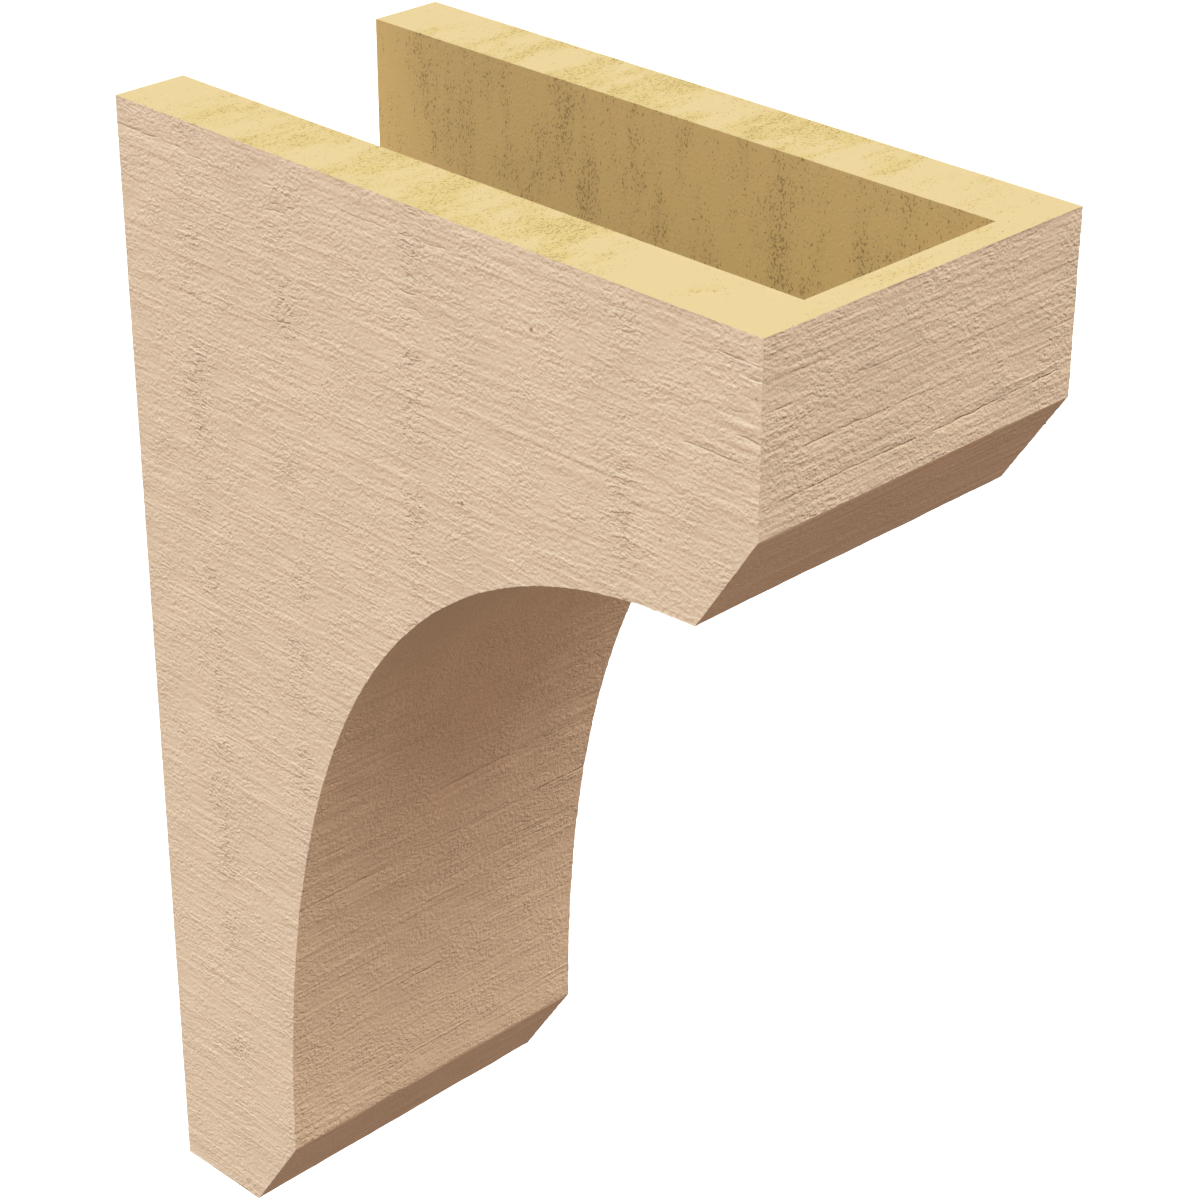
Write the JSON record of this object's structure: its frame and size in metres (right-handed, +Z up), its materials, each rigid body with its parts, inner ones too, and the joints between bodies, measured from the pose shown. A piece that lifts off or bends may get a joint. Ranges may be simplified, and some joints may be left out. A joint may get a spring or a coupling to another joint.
{
  "type": "corbel",
  "caption": "Hollow corbel with a chamfered head, arched underside and slim leg, open at top and back, for carrying a shelf, mantel or beam end on a wall.",
  "frame": {"origin": "middle of the bottom's back edge, at mid-thickness of the bottom, on the plane of the building's wall", "axes": "+Z up, +Y into the building's wall, so the corbel stands out along -Y; X across its width"},
  "size_m": [0.1524, 0.3048, 0.4572],
  "materials": {
    "casting_foam": "rigid polyurethane foam with a rough-sawn, primed tan skin outside and bare yellow foam on the cut top and inside"
  },
  "bodies": {
    "root": {"corbel_casting": "casting_foam"}
  },
  "joints": []
}
